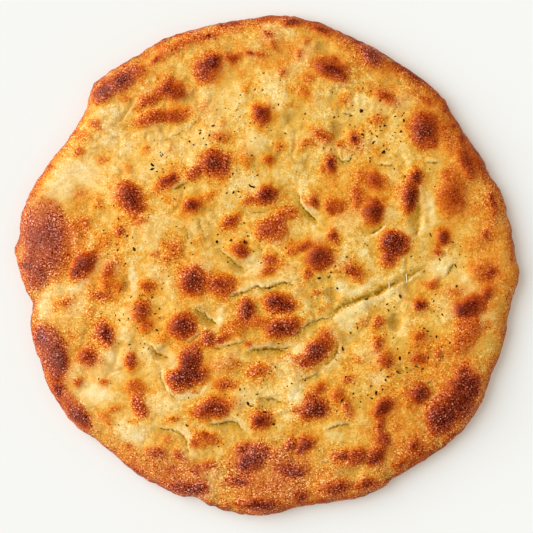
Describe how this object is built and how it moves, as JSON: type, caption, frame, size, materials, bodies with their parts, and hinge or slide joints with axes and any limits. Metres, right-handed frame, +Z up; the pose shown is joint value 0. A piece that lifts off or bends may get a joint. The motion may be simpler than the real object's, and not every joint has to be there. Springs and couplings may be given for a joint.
{
  "type": "focaccia",
  "caption": "Round flat hearth-baked focaccia with a rounded rim, browned blisters, finger hollows, torn creases and strewn herb flakes; it lies on its flat base.",
  "frame": {"origin": "middle of the flat base, on the surface that the bread lies on", "axes": "+Z up through the browned top; +X to the right and +Y to the top of the bread as seen from above"},
  "size_m": [0.3016, 0.2992, 0.0193],
  "materials": {
    "crust": "oiled baked crust, golden with dark brown blisters, satin"
  },
  "bodies": {
    "root": {"focaccia": "crust"}
  },
  "joints": []
}
